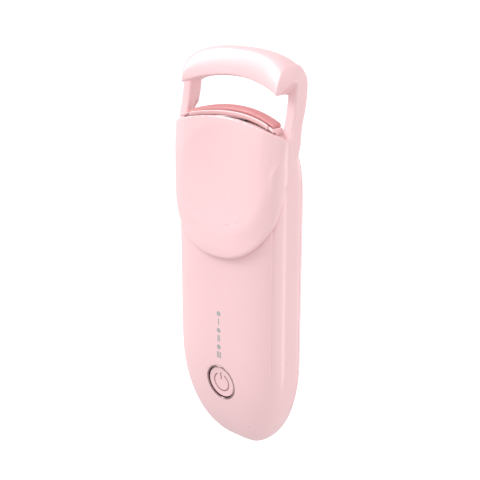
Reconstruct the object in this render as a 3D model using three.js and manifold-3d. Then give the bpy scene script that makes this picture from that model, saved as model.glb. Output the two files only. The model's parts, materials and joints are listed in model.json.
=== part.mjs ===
// A heated eyelash curler: a rounded battery handle that carries a short heated head, and a moulded
// clamp frame (visor, side arms and dished thumb shield) that slides down the handle to close on it.
// Units are millimetres. +Z runs up the handle and the front, with the button, is on the -Y side.
// Sizes are given from the handle's centre plane, and the whole group is then moved along Y so that
// its origin is the centre of the bounding box's bottom.
import * as THREE from 'three';
import { mergeVertices } from 'three/addons/utils/BufferGeometryUtils.js';
import Module from 'manifold-3d';

const wasm = await Module();
wasm.setup();

// ---- Driving dimensions ----
const GAP = 0.3; // running and parting clearance between neighbours
const TRAVEL = 6.8; // stroke of the clamp frame

// Handle
const HANDLE_HALF_WIDTH = 17.9;
const HANDLE_FRONT = 8.1; // depth in front of the centre plane
const HANDLE_BACK = 8.05; // depth behind the centre plane
const HANDLE_TOP = 88.6;
const SECTION_POWER = 3; // superellipse power of the handle's section
const SECTION_SIDES = 34; // twice an odd number, so that flats face front and back
const END_POWER = 2.2; // superellipse power of its rounded ends
const TIP_LENGTH = 28.5; // length of the rounded bottom, seen from the front
const TIP_FRONT_LENGTH = 31.3; // and along its front face
const TIP_Y = 3; // the bottom point lies behind the centre plane
const BACK_ROUND = 20; // length of the rounded top of the back
const SHOULDER_Z = 84;
const SHOULDER_LENGTH = 10;
const NECK_HALF_WIDTH = 15.4;
const WALL = 1.6;
const SEAM_Y = 2.6; // parting plane of the two housings
const REST_FACE_Y = 7.85; // flat pad moulded on the back
const DECK_Z = 83.6; // top of the front housing
const ORIGIN_TO_CENTRE_PLANE = 0.804; // the origin lies under the middle of the whole depth

// Clamp frame
const FRAME_HALF_WIDTH = 18.9;
const SLAB_HALF_WIDTH = FRAME_HALF_WIDTH + 0.1; // surfaces run just past the outline that trims them
const SLAB_COLUMNS = 21; // an odd number, so that a flat lies on the middle
const ARM_INNER = 15.8;
const SPADE_CENTRE_Z = 77;
const SPADE_HEIGHT = 22.5;
const SPADE_POWER = 2.2;
const ARCH_CENTRE_Z = 97.5;
const ARCH_HEIGHT = 8.3;
const ARCH_POWER = 2.4;
const LIP_Z = 99; // lower front edge of the visor, at its middle
const LIP_DROP = 3; // the lip's ends are lower
const LIP_Y = -2.85;
const LIP_REACH = 1.95; // and further forward
const LIP_HALF_WIDTH = 15.5;
const SHIELD_TOP_Z = 89.3;
const SHIELD_TOP_Y = -5.7;
const SHIELD_SLOPE = 0.1246; // the thumb dish leans back towards the top
const SHIELD_WALL = 1.2;
const PANEL_HALF_WIDTH = 15.3;
const PANEL_OPEN_Z = 82.5; // above this the panel reaches the arms
const SHIELD_CROWN = 3.27; // the shield's top edge is this much lower at its ends
const SHIELD_CORNER = 0.6; // and rounded off by this much
const UNDER_SKIN = 0.15;
const POCKET_INSET = 0.9; // the slide pocket stays this far inside the shield's edge

// Head
const HEAD_HALF_WIDTH = 14.2;
const HEAD_TOP_Z = 91.7;
const HEAD_CROWN = 2.3; // the pad's ends are lower than its middle
const CARRIER_BACK_Y = 2.45;
const CHEEK_FRONT_Y = -4.1;
const PAD_HALF_LENGTH = 14.6;
const STRIP_HALF_LENGTH = 13.1;
const STRIP_WALL = 0.65;
const COUNTER_FRONT = -1.8;
const COUNTER_BACK = 0.6;

// Button
const BUTTON_Z = 19.5;
const BUTTON_Y = -7.45;
const BUTTON_TILT = THREE.MathUtils.degToRad(6.8);
const BUTTON_RADIUS = 4.3;
const BUTTON_RECESS = 0.25; // the cap's face lies below the ring's
const BUTTON_STROKE = 0.4;
const RING_OUTER = 4.85;
const RING_INNER = 4.5;

// Inside
const BOARD_FRONT_Y = -1.4;
const BOARD_BACK_Y = -0.6;
const ROD_X = 11.3;
const ROD_Y = 0.7;
const ROD_RADIUS = 0.8;
const SHELF_Z = 58.2; // spring seat, top of the chassis's lower shelf
const CHASSIS_TOP_Z = 80.6;
const CHASSIS_FRONT_Y = -1.6;
const CHASSIS_SCREW_X = 11.4;
const CHASSIS_SCREW_Z = 54;
const YOKE_LOW_Z = 73.5;
const YOKE_HIGH_Z = 78.5;
const YOKE_FRONT_Y = -2.1;
const YOKE_BACK_Y = -0.8;
const BOSS_X = 7;
const PORT_Y = BOARD_BACK_Y + 1.75;

// ---- Shape helpers ----

// A manifold solid from a closed three.js geometry.
function solidOf(geometry) {
  const bare = geometry.clone();
  bare.deleteAttribute('normal');
  bare.deleteAttribute('uv');
  const merged = mergeVertices(bare, 1e-4);
  const vertProperties = new Float32Array(merged.getAttribute('position').array);
  const triVerts = new Uint32Array(merged.getIndex().array);
  return new wasm.Manifold(new wasm.Mesh({ numProp: 3, vertProperties, triVerts }));
}

// A three.js geometry from a manifold solid.
function geometryOf(solid) {
  const mesh = solid.getMesh();
  const geometry = new THREE.BufferGeometry();
  geometry.setAttribute('position', new THREE.BufferAttribute(mesh.vertProperties.slice(), 3));
  geometry.setIndex(new THREE.BufferAttribute(mesh.triVerts.slice(), 1));
  return geometry.toNonIndexed();
}

// A closed cylinder with every vertex moved by place(unitX, unitZ, along): the unit circle's
// coordinates (0, 0 at a cap's centre) and the share of the way along the axis.
function loft(sides, steps, place) {
  const geometry = new THREE.CylinderGeometry(1, 1, 1, sides, steps);
  const position = geometry.getAttribute('position');
  for (let i = 0; i < position.count; i += 1) {
    const point = place(position.getX(i), position.getZ(i), position.getY(i) + 0.5);
    position.setXYZ(i, point.x, point.y, point.z);
  }
  return geometry;
}

// A bar along X whose section is a ring of [y, z] points that depends on x.
function barAlongX(halfLength, steps, section) {
  const sides = section(0).length;
  return loft(sides, steps, (unitX, unitZ, along) => {
    const x = (2 * along - 1) * halfLength;
    const ring = section(x);
    const middle = ring.reduce((sum, p) => [sum[0] + p[0] / sides, sum[1] + p[1] / sides], [0, 0]);
    const turn = Math.atan2(unitX, unitZ) / (2 * Math.PI);
    const corner = Math.hypot(unitX, unitZ) < 0.5 ? middle : ring[Math.round(turn * sides + sides) % sides];
    return new THREE.Vector3(x, corner[0], corner[1]);
  });
}

// A slab between two surfaces y = front(x, z) and y = back(x, z), with its columns closer together
// towards the sides, where the surfaces turn fastest.
function slab(halfWidth, zLow, zHigh, columns, rows, front, back) {
  const geometry = new THREE.BoxGeometry(2 * halfWidth, 2, zHigh - zLow, columns, 1, rows);
  const position = geometry.getAttribute('position');
  for (let i = 0; i < position.count; i += 1) {
    const across = position.getX(i) / halfWidth;
    const x = halfWidth * Math.sign(across) * (1 - (1 - Math.abs(across)) ** 1.5);
    const z = position.getZ(i) + (zLow + zHigh) / 2;
    const y = position.getY(i) < 0 ? front(x, z) : back(x, z);
    position.setXYZ(i, x, y, z);
  }
  return geometry;
}

function box(xLow, xHigh, yLow, yHigh, zLow, zHigh) {
  const geometry = new THREE.BoxGeometry(xHigh - xLow, yHigh - yLow, zHigh - zLow);
  geometry.translate((xLow + xHigh) / 2, (yLow + yHigh) / 2, (zLow + zHigh) / 2);
  return geometry;
}

// Points are [x, z] for a prism along Y, and [y, z] for a prism along X.
function shapeOf(points) {
  return new THREE.Shape(points.map((p) => new THREE.Vector2(p[0], p[1])));
}

function prismAlongY(points, yLow, yHigh) {
  const options = { depth: yHigh - yLow, bevelEnabled: false };
  const geometry = new THREE.ExtrudeGeometry(shapeOf(points), options);
  geometry.rotateX(Math.PI / 2);
  geometry.translate(0, yHigh, 0);
  return geometry;
}

function prismAlongX(points, xLow, xHigh) {
  const options = { depth: xHigh - xLow, bevelEnabled: false };
  const geometry = new THREE.ExtrudeGeometry(shapeOf(points), options);
  const toX = new THREE.Matrix4();
  toX.makeBasis(new THREE.Vector3(0, 1, 0), new THREE.Vector3(0, 0, 1), new THREE.Vector3(1, 0, 0));
  geometry.applyMatrix4(toX);
  geometry.translate(xLow, 0, 0);
  return geometry;
}

// A point of a superellipse at an angle: cosine and sine raised to 2 / power, signs kept.
function superPoint(halfWidth, height, power, angle) {
  const cos = Math.cos(angle);
  const sin = Math.sin(angle);
  const x = halfWidth * Math.sign(cos) * Math.abs(cos) ** (2 / power);
  const z = height * Math.sign(sin) * Math.abs(sin) ** (2 / power);
  return [x, z];
}

// The share of full size at a distance from a rounded end of the given length.
function roundedEnd(distance, length) {
  const inward = 1 - THREE.MathUtils.clamp(distance / length, 0.002, 1);
  return (1 - inward ** END_POWER) ** (1 / END_POWER);
}

function cylinderBetween(from, to, radius, sides = 20) {
  const path = new THREE.Vector3().subVectors(to, from);
  const geometry = new THREE.CylinderGeometry(radius, radius, path.length(), sides);
  const along = path.clone().normalize();
  const turn = new THREE.Quaternion().setFromUnitVectors(new THREE.Vector3(0, 1, 0), along);
  geometry.applyQuaternion(turn);
  geometry.translate((from.x + to.x) / 2, (from.y + to.y) / 2, (from.z + to.z) / 2);
  return geometry;
}

function tubeAlong(curve, radius, steps, sides) {
  const section = new THREE.Shape();
  section.absarc(0, 0, radius, 0, 2 * Math.PI);
  const options = { steps, extrudePath: curve, curveSegments: sides, bevelEnabled: false };
  return new THREE.ExtrudeGeometry(section, options);
}

// Joins several closed geometries that overlap or lie apart.
function joined(...geometries) {
  return geometries.map(solidOf).reduce((sum, solid) => sum.add(solid));
}

function interpolate(table, value) {
  const last = table.length - 1;
  if (value <= table[0][0]) return table[0][1];
  for (let i = 0; i < last; i += 1) {
    const [lowKey, low] = table[i];
    const [highKey, high] = table[i + 1];
    if (value <= highKey) return low + ((high - low) * (value - lowKey)) / (highKey - lowKey);
  }
  return table[last][1];
}

// ---- Handle surfaces ----

function handleSection(z, inset) {
  const tip = roundedEnd(z - inset, TIP_LENGTH);
  const frontTip = roundedEnd(z - inset, TIP_FRONT_LENGTH);
  const backTop = roundedEnd(HANDLE_TOP - inset - z, BACK_ROUND);
  const shoulder = z > SHOULDER_Z ? 0 : roundedEnd(SHOULDER_Z - z, SHOULDER_LENGTH);
  const fullWidth = NECK_HALF_WIDTH + (HANDLE_HALF_WIDTH - NECK_HALF_WIDTH) * shoulder;
  return {
    halfWidth: Math.max(fullWidth * tip - inset, 0.2),
    front: TIP_Y - (HANDLE_FRONT + TIP_Y) * frontTip + Math.min(inset, frontTip * 10),
    back: TIP_Y + (HANDLE_BACK - TIP_Y) * tip - HANDLE_BACK * (1 - backTop) - Math.min(inset, tip * 4),
  };
}

// A unit circle's point moved onto the handle's section, half a side round: across and depth.
function onSection(unitX, unitZ) {
  const turn = Math.PI / SECTION_SIDES;
  const across = unitX * Math.cos(turn) + unitZ * Math.sin(turn);
  const depth = unitX * Math.sin(turn) - unitZ * Math.cos(turn);
  const stretched = (value) => Math.sign(value) * Math.abs(value) ** (2 / SECTION_POWER);
  return [stretched(across), stretched(depth)];
}

// The handle's outer form, or the form a wall's thickness inside it.
function handleForm(zLow, zHigh, inset) {
  return loft(SECTION_SIDES, 22, (unitX, unitZ, along) => {
    const spread = 0.5 - 0.5 * Math.cos(Math.PI * along);
    const z = zLow + (zHigh - zLow) * (0.5 * along + 0.5 * spread);
    const { halfWidth, front, back } = handleSection(z, inset);
    const [across, depth] = onSection(unitX, unitZ);
    return new THREE.Vector3(halfWidth * across, (front + back) / 2 + (depth * (back - front)) / 2, z);
  });
}

// The straight handle form with running clearance, for cutting the frame's inner face.
function clearanceForm(zLow, zHigh) {
  return loft(SECTION_SIDES, 1, (unitX, unitZ, along) => {
    const [across, depth] = onSection(unitX, unitZ);
    const x = (HANDLE_HALF_WIDTH + GAP) * across;
    return new THREE.Vector3(x, depth * (HANDLE_FRONT + GAP), zLow + (zHigh - zLow) * along);
  });
}

// ---- Clamp frame surfaces ----

// Back edge of the arm in side view, running on as the skirt's rear edge: [z, y].
const ARM_BACK = [
  [62, -5.4],
  [66.7, -5.2],
  [70.7, -4.7],
  [75.2, -3.4],
  [79.3, -1.2],
  [82.3, 0.4],
  [84.5, 0.95],
  [86.5, 1.25],
  [89.9, 1.85],
  [92, 2.5],
  [94.5, 3.0],
  [98.4, 3.3],
];

// Front face of the arm in side view: [z, y].
const ARM_FRONT = [
  [72.5, -8.4],
  [76.5, -7.0],
  [80.3, -5.4],
  [83.2, -4.0],
  [87, -2.75],
  [92.7, -1.4],
  [98.4, -0.6],
];

// Depth of the ribbon round the dish: [z, depth]. Its lowest edge falls back a little.
const RIBBON_DEPTH = [
  [54, 9.42],
  [57, 9.46],
  [61.2, 9.12],
];

// The ribbon follows the handle's own section, a little larger.
function ribbonSurface(x, z) {
  const depth = interpolate(RIBBON_DEPTH, z);
  const across = Math.min(Math.abs(x) / (FRAME_HALF_WIDTH + 0.02), 1);
  return -depth * (1 - across ** SECTION_POWER) ** (1 / SECTION_POWER);
}

// The arm's core lies just under the panel's skin, so that the two join without slivers. Below the
// shield's top edge it starts inside the panel, which leaves no slot between them.
function armFront(x, z) {
  const face = Math.max(ribbonSurface(x, z) + UNDER_SKIN, interpolate(ARM_FRONT, z));
  const insidePanel = shieldFront(x, z) + SHIELD_WALL - UNDER_SKIN;
  return z < shieldTopZ(x) ? Math.min(face, insidePanel) : face;
}

// The thumb dish: a plane that leans back, hollow in the middle and turned back at its sides.
function dishSurface(x, z) {
  const rise = THREE.MathUtils.clamp((z - 66) / 23, 0, 1);
  const across = Math.abs(x) / 18.7;
  const hollow = 0.9 * rise * Math.min((x / 12.9) ** 2, 1);
  const sides = (2.3 + 0.8 * rise) * across ** 5;
  return SHIELD_TOP_Y - SHIELD_SLOPE * (SHIELD_TOP_Z - z) + sides - hollow;
}

function shieldFront(x, z) {
  return Math.max(ribbonSurface(x, z), dishSurface(x, z));
}

function lipZ(x) {
  return LIP_Z - LIP_DROP * (x / LIP_HALF_WIDTH) ** 2;
}

function lipY(x) {
  return LIP_Y - LIP_REACH * Math.abs(x / LIP_HALF_WIDTH) ** 3;
}

function shieldTopZ(x) {
  const corner = SHIELD_CORNER * Math.abs(x / FRAME_HALF_WIDTH) ** 12;
  return SHIELD_TOP_Z - SHIELD_CROWN * (x / FRAME_HALF_WIDTH) ** 2 - corner;
}

function archZ(x) {
  const across = Math.min(Math.abs(x) / FRAME_HALF_WIDTH, 1);
  return ARCH_CENTRE_Z + ARCH_HEIGHT * (1 - across ** ARCH_POWER) ** (1 / ARCH_POWER);
}

// Front-view outline of the whole frame: spade below, arch above.
function frameOutline() {
  const points = [];
  const steps = 17;
  for (let i = 0; i <= steps; i += 1) {
    const [x, z] = superPoint(FRAME_HALF_WIDTH, SPADE_HEIGHT, SPADE_POWER, Math.PI + (Math.PI * i) / steps);
    points.push([x, SPADE_CENTRE_Z + z]);
  }
  for (let i = 0; i <= steps; i += 1) {
    const [x, z] = superPoint(FRAME_HALF_WIDTH, ARCH_HEIGHT, ARCH_POWER, (Math.PI * i) / steps);
    points.push([x, ARCH_CENTRE_Z + z]);
  }
  return points;
}

// A spade-shaped region inside the outline, open upwards.
function spadeRegion(halfWidth, centreZ, height) {
  const points = [];
  const steps = 14;
  for (let i = 0; i <= steps; i += 1) {
    const [x, z] = superPoint(halfWidth, height, SPADE_POWER, Math.PI + (Math.PI * i) / steps);
    points.push([x, centreZ + z]);
  }
  points.push([halfWidth, 110], [-halfWidth, 110]);
  return points;
}

// Front-view outline of the shield: everything below its gently arched top edge.
function shieldOutline() {
  const points = [[-25, 40], [25, 40]];
  const steps = 12;
  for (let i = 0; i <= steps; i += 1) {
    const x = FRAME_HALF_WIDTH * (1 - (2 * i) / steps);
    points.push([x, shieldTopZ(x)]);
  }
  return points;
}

// Side-view region kept at full arm thickness. Its lower boundary is the skirt's rear edge moved up
// by more than the stroke, so that the notch it slides in never shows.
function thickArmRegion(drop) {
  const lift = TRAVEL + 1.2 - drop;
  const points = ARM_BACK.filter((p) => p[0] >= 66 && p[0] <= 83).map(([z, y]) => [y, z + lift]);
  return [[-14, 64 + lift], ...points, [0.8, 83 + lift], [8, 83 + lift], [8, 112], [-14, 112]];
}

// ---- Materials ----
const PINK = 0xf9d6da;
const PALE_PINK = 0xfadcdf;
const ROSE = 0xe3a0a2;

function finish(color, roughness, metalness) {
  return new THREE.MeshStandardMaterial({ color, roughness, metalness });
}

const plastic = () => finish(PINK, 0.45, 0);
const group = new THREE.Group();
group.name = 'eyelash_curler';
group.position.y = ORIGIN_TO_CENTRE_PLANE;

function addPart(name, geometry, material) {
  const mesh = new THREE.Mesh(geometry, material);
  mesh.name = name;
  group.add(mesh);
}

// ---- Button placement ----
const buttonFrame = new THREE.Matrix4();
buttonFrame.makeRotationX(Math.PI / 2 + BUTTON_TILT);
buttonFrame.setPosition(0, BUTTON_Y, BUTTON_Z);

// A disc or post on the button's axis: depth 0 is the cap's face, larger depths lie inside.
function buttonPost(radius, depthFrom, depthTo, sides = 36) {
  const geometry = new THREE.CylinderGeometry(radius, radius, depthTo - depthFrom, sides);
  geometry.rotateX(Math.PI / 2);
  geometry.translate(0, 0, -(depthFrom + depthTo) / 2);
  geometry.applyMatrix4(buttonFrame);
  return geometry;
}

// ---- Housings ----

// Spade-shaped pocket in the handle's front that the shield's panel slides in.
function slidePocket(extraDepth) {
  const floor = (x, z) => -3.4 - SHIELD_SLOPE * (82.1 - z) + extraDepth;
  const region = solidOf(slab(20, 50, 92, 1, 1, () => -14, floor));
  const inset = extraDepth > 0 ? WALL : 0;
  const halfWidth = NECK_HALF_WIDTH + 0.2 + inset;
  const height = SPADE_HEIGHT - POCKET_INSET + inset;
  const outline = spadeRegion(halfWidth, SPADE_CENTRE_Z, height);
  return region.intersect(solidOf(prismAlongY(outline, -15, 15)));
}

// Notches beside the neck for the thick upper part of the arms.
function armNotches(inner, drop) {
  const region = thickArmRegion(drop);
  const left = solidOf(prismAlongX(region, -25, -inner));
  const right = solidOf(prismAlongX(region, inner, 25));
  return left.add(right);
}

function portOpening() {
  const outline = new THREE.Shape();
  const radius = 1.75;
  outline.absarc(3, 0, radius, -Math.PI / 2, Math.PI / 2);
  outline.absarc(-3, 0, radius, Math.PI / 2, (3 * Math.PI) / 2);
  const geometry = new THREE.ExtrudeGeometry(outline, { depth: 9, bevelEnabled: false, curveSegments: 5 });
  geometry.translate(0, PORT_Y, -1);
  return solidOf(geometry);
}

function housingShell() {
  const outer = solidOf(handleForm(0, HANDLE_TOP, 0));
  const inside = solidOf(handleForm(WALL, HANDLE_TOP - WALL, WALL));
  const wallsKept = slidePocket(1.4).add(armNotches(ARM_INNER - GAP - 1.3, TRAVEL + GAP + 1.3));
  const hollow = inside.subtract(wallsKept);
  const cut = slidePocket(0).add(armNotches(ARM_INNER - GAP, TRAVEL + GAP)).add(portOpening());
  return outer.subtract(hollow).subtract(cut);
}

function frontHousing(shell) {
  const keep = solidOf(box(-25, 25, -15, SEAM_Y - GAP / 2, -1, DECK_Z));
  const buttonHole = solidOf(buttonPost(RING_OUTER + GAP, -4, 5));
  const slot = (x) => solidOf(box(x - 1.9, x + 1.9, -9, 0, YOKE_LOW_Z - TRAVEL, YOKE_HIGH_Z));
  const bored = shell.intersect(keep).subtract(buttonHole).subtract(slot(-BOSS_X)).subtract(slot(BOSS_X));
  return bored.add(screwBoss(-CHASSIS_SCREW_X)).add(screwBoss(CHASSIS_SCREW_X));
}

// A hollow boss on the front wall that takes one of the chassis's screws.
function screwBoss(x) {
  const at = (y) => new THREE.Vector3(x, y, CHASSIS_SCREW_Z);
  const post = solidOf(cylinderBetween(at(-6.2), at(CHASSIS_FRONT_Y - GAP), 1.9, 16));
  return post.subtract(solidOf(cylinderBetween(at(-5.4), at(0), 0.7, 12)));
}

function rearHousing(shell) {
  const keep = solidOf(box(-25, 25, SEAM_Y + GAP / 2, REST_FACE_Y, -1, HANDLE_TOP + 1));
  return shell.intersect(keep);
}

// ---- Clamp frame ----

function visor() {
  const back = 3.3;
  const section = (x) => {
    const beyond = Math.max(Math.abs(x) - LIP_HALF_WIDTH, 0);
    const inner = Math.sign(x) * Math.min(Math.abs(x), LIP_HALF_WIDTH);
    const top = archZ(x) + 0.05;
    const lip = Math.min(lipZ(inner) + 1.2 * beyond, top - 0.6);
    const lipFront = lipY(inner) + 1.25 * beyond;
    const crease = Math.max(top - 0.6 - 1.7 * Math.min(Math.abs(x) / 16, 1) ** 2, lip + 0.3);
    const bulge = [0.45 * lipFront - 0.75, 0.5 * (lip + crease) + 0.3];
    return [
      [lipFront, lip],
      [back, lip],
      [back, Math.max(top - 1.3, lip + 0.1)],
      [2.2, Math.max(top - 0.2, lip + 0.2)],
      [0.4, top],
      [-0.9, crease],
      bulge,
    ];
  };
  return solidOf(barAlongX(FRAME_HALF_WIDTH - 0.05, 28, section));
}

// The counter pad, or the groove for it, between its front and back at the visor's middle. Its top is
// given as a rise above the visor's lip and its bottom as a drop below the closing height.
function counterPadBar(yFront, yBack, rise, drop, halfLength) {
  const section = (x) => {
    const top = lipZ(x) + rise;
    const bottom = HEAD_TOP_Z + 7 - HEAD_CROWN * (x / HEAD_HALF_WIDTH) ** 2 - drop;
    const shift = -0.9 * (x / LIP_HALF_WIDTH) ** 2;
    return [
      [yFront + shift, bottom],
      [yBack + shift, bottom],
      [yBack + shift, top],
      [yFront + shift, top],
    ];
  };
  return barAlongX(halfLength, 16, section);
}

// The front of the shield is not cut by the skirt's side edge.
function panelLimit() {
  return solidOf(box(-LIP_HALF_WIDTH, LIP_HALF_WIDTH, -15, 1, 50, 92));
}

function clampFrame() {
  const outline = solidOf(prismAlongY(frameOutline(), -15, 15));
  const arms = solidOf(slab(SLAB_HALF_WIDTH, 54, 99.4, SLAB_COLUMNS, 18, armFront, () => 5));
  const underDish = (x, z) => dishSurface(x, z) + UNDER_SKIN;
  const beforeDish = solidOf(slab(SLAB_HALF_WIDTH, 50, 99, SLAB_COLUMNS, 7, () => -16, underDish));
  const belowShieldTop = solidOf(prismAlongY(shieldOutline(), -17, 17));
  const between = solidOf(box(-ARM_INNER, ARM_INNER, -15, 15, 40, 99.6));
  const sideArms = arms.subtract(beforeDish.intersect(belowShieldTop)).subtract(between);
  const panelBack = (x, z) => shieldFront(x, z) + SHIELD_WALL;
  const panel = solidOf(slab(SLAB_HALF_WIDTH, 54, 90, SLAB_COLUMNS, 12, shieldFront, panelBack));
  const behindEdge = ARM_BACK.map(([z, y]) => [y, z]);
  const sideLimit = solidOf(prismAlongX([[-16, 50], ...behindEdge, [3.3, 112], [-16, 112]], -25, 25));
  const shell = sideArms.add(panel.intersect(belowShieldTop)).intersect(outline);
  const panelHeight = SPADE_HEIGHT - POCKET_INSET - GAP;
  const panelOutline = spadeRegion(PANEL_HALF_WIDTH, SPADE_CENTRE_Z + TRAVEL + 0.4, panelHeight);
  const panelZone = solidOf(prismAlongY(panelOutline, -15, 15));
  const thick = thickArmRegion(0);
  const rightZone = solidOf(prismAlongX(thick, ARM_INNER, 25));
  const armZone = rightZone.add(solidOf(prismAlongX(thick, -25, -ARM_INNER)));
  const panelToArm = solidOf(box(-ARM_INNER, ARM_INNER, -15, 0, PANEL_OPEN_Z, 91));
  const cutter = solidOf(clearanceForm(45, 91)).subtract(panelZone.add(armZone).add(panelToArm));
  const limited = shell.subtract(cutter);
  const groove = solidOf(counterPadBar(COUNTER_FRONT - GAP, COUNTER_BACK + GAP, 1.5, 3, 14.4));
  const top = visor().intersect(outline).subtract(groove);
  const boss = (x) => {
    const z = (YOKE_LOW_Z + YOKE_HIGH_Z) / 2;
    const from = new THREE.Vector3(x, shieldFront(x, z) + 0.6, z);
    return solidOf(cylinderBetween(from, new THREE.Vector3(x, YOKE_FRONT_Y - GAP, z), 1.4));
  };
  return limited.intersect(sideLimit.add(panelLimit())).add(top).add(boss(-BOSS_X)).add(boss(BOSS_X));
}

// ---- Head ----

function headFrontY(x) {
  return -2.8 - 1.85 * (x / 12.5) ** 2;
}

function padBackY(x) {
  return 0.1 - 1.4 * (x / HEAD_HALF_WIDTH) ** 2;
}

function crownDrop(x) {
  return (x / HEAD_HALF_WIDTH) ** 2;
}

function siliconePad() {
  const section = (x) => [
    [headFrontY(x) + 0.95, 89.95 - 1.8 * crownDrop(x)],
    [padBackY(x), 89.95 - 1.8 * crownDrop(x)],
    [padBackY(x), HEAD_TOP_Z - HEAD_CROWN * crownDrop(x)],
    [padBackY(x) - 0.7, HEAD_TOP_Z + 0.05 - HEAD_CROWN * crownDrop(x)],
    [headFrontY(x) + 0.95, 90.75 - 2.0 * crownDrop(x)],
  ];
  return barAlongX(PAD_HALF_LENGTH, 20, section);
}

function guardStrip() {
  const section = (x) => [
    [headFrontY(x), 89 - 1.6 * crownDrop(x)],
    [headFrontY(x) + STRIP_WALL, 89 - 1.6 * crownDrop(x)],
    [headFrontY(x) + STRIP_WALL, 90.3 - 1.7 * crownDrop(x)],
    [headFrontY(x), 90.3 - 1.7 * crownDrop(x)],
  ];
  return barAlongX(STRIP_HALF_LENGTH, 18, section);
}

function heatPlate() {
  const section = (x) => [
    [headFrontY(x) + 0.95, 88.85 - 1.8 * crownDrop(x)],
    [padBackY(x), 88.85 - 1.8 * crownDrop(x)],
    [padBackY(x), 89.65 - 1.8 * crownDrop(x)],
    [headFrontY(x) + 0.95, 89.65 - 1.8 * crownDrop(x)],
  ];
  return barAlongX(14.2, 16, section);
}

// Walls in line with the strip at both ends of the pad, with a side block that carries each.
function headCheeks() {
  const wall = (back) => (x) => {
    const low = shieldTopZ(x) + GAP;
    const high = 90.25 - 1.7 * crownDrop(x);
    return [[headFrontY(x), low], [back(x), low], [back(x), high], [headFrontY(x), high]];
  };
  const thin = solidOf(barAlongX(NECK_HALF_WIDTH, 20, wall((x) => headFrontY(x) + STRIP_WALL)));
  const deep = solidOf(barAlongX(NECK_HALF_WIDTH, 20, wall((x) => padBackY(x) - 0.4)));
  const beside = PAD_HALF_LENGTH + GAP;
  const ends = thin.subtract(solidOf(box(-STRIP_HALF_LENGTH - GAP, STRIP_HALF_LENGTH + GAP, -9, 9, 80, 95)));
  const block = (xLow, xHigh) => solidOf(box(xLow, xHigh, CHEEK_FRONT_Y, -1.9, DECK_Z + 1, 88));
  return ends
    .add(deep.subtract(solidOf(box(-beside, beside, -9, 9, 80, 95))))
    .add(block(beside, NECK_HALF_WIDTH))
    .add(block(-NECK_HALF_WIDTH, -beside));
}

function heaterCarrier() {
  const section = (x) => {
    const front = Math.max(-3.1 - 1.2 * (x / 12.5) ** 2, -4.3);
    return [
      [front, DECK_Z + GAP],
      [CARRIER_BACK_Y, DECK_Z + GAP],
      [CARRIER_BACK_Y, 88 - 1.6 * crownDrop(x)],
      [front + 0.4, 88.55 - 1.8 * crownDrop(x)],
      [front, 88.2 - 1.8 * crownDrop(x)],
    ];
  };
  const block = solidOf(barAlongX(NECK_HALF_WIDTH, 20, section)).add(headCheeks());
  const pocket = solidOf(box(-11.4, 11.4, -2.6, -0.2, 86, 92));
  const leadHole = (x) => solidOf(box(x - 0.8, x + 0.8, -2.2, -0.6, 80, 92));
  return block.subtract(pocket).subtract(leadHole(-3)).subtract(leadHole(3));
}

// ---- Inside parts ----

function chassis() {
  const shelf = (zLow, zHigh) => box(-13, 13, CHASSIS_FRONT_Y, 2.9, zLow, zHigh);
  const tab = (x) => box(x - 1.8, x + 1.8, CHASSIS_FRONT_Y, -0.4, CHASSIS_SCREW_Z - 2, SHELF_Z - 0.5);
  const spine = box(-9, 9, 2.8, 4, SHELF_Z - 1.8, CHASSIS_TOP_Z);
  const solid = joined(shelf(SHELF_Z - 1.8, SHELF_Z), shelf(CHASSIS_TOP_Z - 1.4, CHASSIS_TOP_Z), spine)
    .add(joined(tab(-CHASSIS_SCREW_X), tab(CHASSIS_SCREW_X)));
  const screwHole = (x) => {
    const front = new THREE.Vector3(x, -3, CHASSIS_SCREW_Z);
    return solidOf(cylinderBetween(front, new THREE.Vector3(x, 1, CHASSIS_SCREW_Z), 0.75, 12));
  };
  const hole = (x) => {
    const low = new THREE.Vector3(x, ROD_Y, SHELF_Z - 3);
    return solidOf(cylinderBetween(low, new THREE.Vector3(x, ROD_Y, 83), ROD_RADIUS + 0.05));
  };
  const leadWay = solidOf(box(-5, 5, -3, 2.4, 50, 84));
  const drilled = solid.subtract(hole(-ROD_X)).subtract(hole(ROD_X)).subtract(leadWay);
  return drilled.subtract(screwHole(-CHASSIS_SCREW_X)).subtract(screwHole(CHASSIS_SCREW_X));
}

function sliderYoke() {
  const bar = box(-13, 13, YOKE_FRONT_Y, YOKE_BACK_Y, YOKE_LOW_Z, YOKE_HIGH_Z);
  const lug = (x) => box(x - 1.8, x + 1.8, YOKE_BACK_Y - 0.5, 2.6, YOKE_LOW_Z, YOKE_HIGH_Z);
  const solid = joined(bar, lug(-ROD_X), lug(ROD_X));
  const bore = (x) => {
    const low = new THREE.Vector3(x, ROD_Y, YOKE_LOW_Z - 1);
    return solidOf(cylinderBetween(low, new THREE.Vector3(x, ROD_Y, YOKE_HIGH_Z + 1), ROD_RADIUS + 0.1));
  };
  const z = (YOKE_LOW_Z + YOKE_HIGH_Z) / 2;
  const screwHole = (x) => {
    const front = new THREE.Vector3(x, YOKE_FRONT_Y - 1, z);
    return solidOf(cylinderBetween(front, new THREE.Vector3(x, YOKE_BACK_Y + 1, z), 0.75, 12));
  };
  const bored = solid.subtract(bore(-ROD_X)).subtract(bore(ROD_X));
  return bored.subtract(screwHole(-BOSS_X)).subtract(screwHole(BOSS_X));
}

// A small pan-head screw along Y, its head at the back.
function smallScrew(x, z, tipY, seatY) {
  const at = (y) => new THREE.Vector3(x, y, z);
  return joined(
    cylinderBetween(at(tipY), at(seatY + 0.5), 0.5, 12),
    cylinderBetween(at(seatY + 0.2), at(seatY + 1.1), 1.2, 16),
  );
}

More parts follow.
